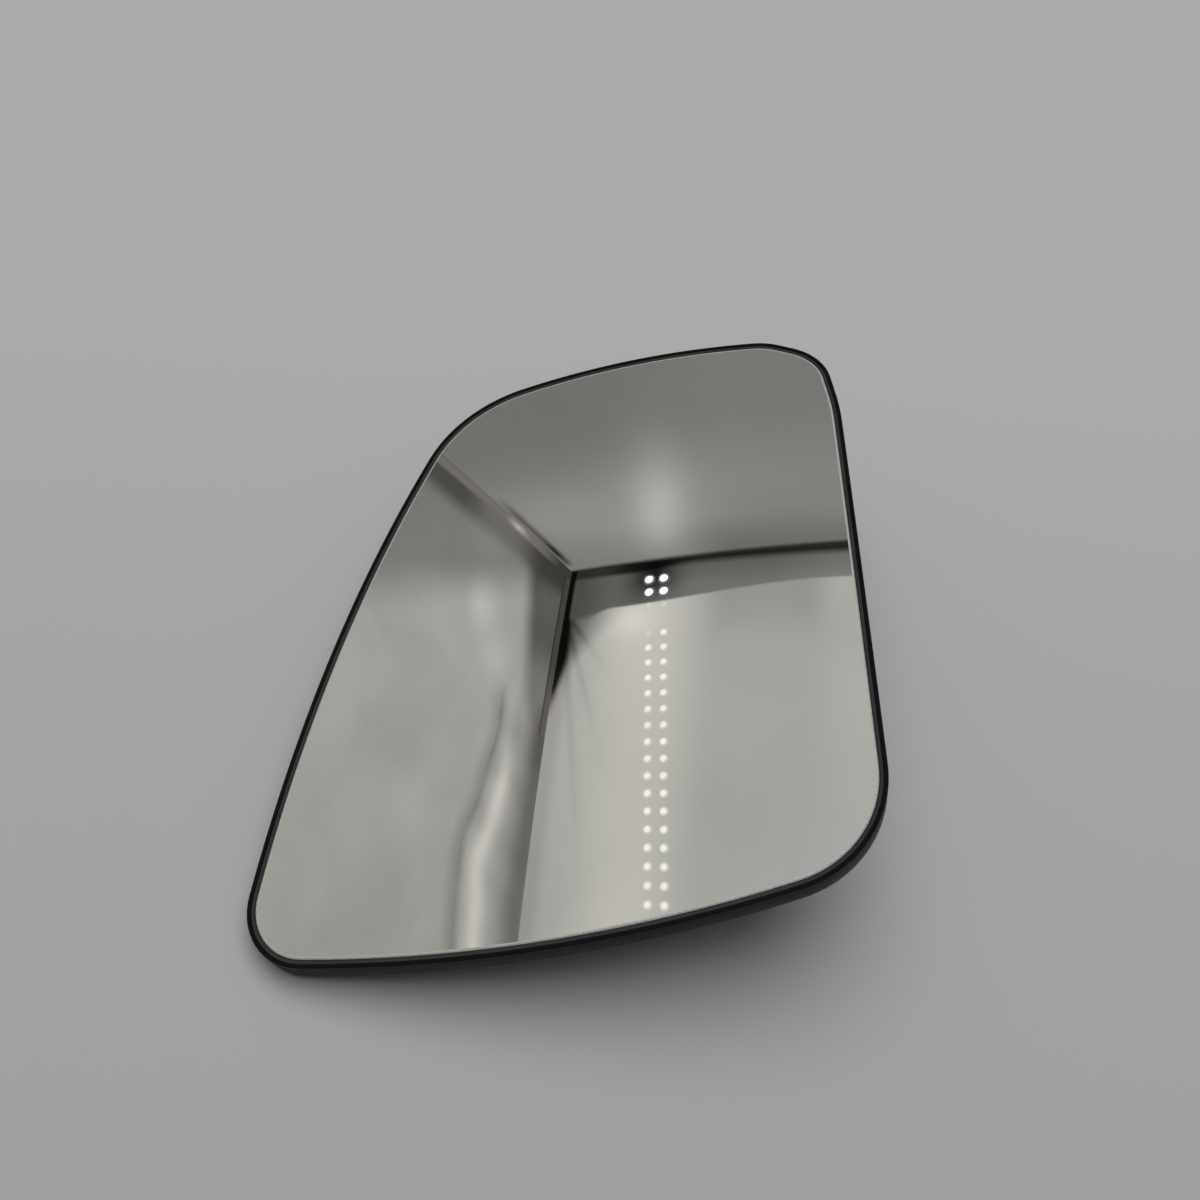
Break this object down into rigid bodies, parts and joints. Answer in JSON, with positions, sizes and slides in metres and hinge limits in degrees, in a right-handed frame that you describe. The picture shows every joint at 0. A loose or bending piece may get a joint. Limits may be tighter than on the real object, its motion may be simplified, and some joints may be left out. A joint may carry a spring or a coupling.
{
  "type": "car_door_mirror_glass",
  "caption": "Convex car door mirror glass bonded to a black plastic holder with a clip ring on its back",
  "frame": {"origin": "centre of the clip ring's flat end face, on the floor", "axes": "+Z is the clip ring's axis and points up from the floor; +Y runs along the straight edge of the glass; +X points to the straight edge, which is the high side"},
  "size_m": [0.1371, 0.1697, 0.0561],
  "materials": {
    "silvered_glass": "polished",
    "foam": "matte",
    "black_plastic": "satin"
  },
  "bodies": {
    "root": {"mirror_glass": "silvered_glass", "adhesive_pad": "foam", "holder_plate": "black_plastic", "clip_ring": "black_plastic"}
  },
  "joints": []
}
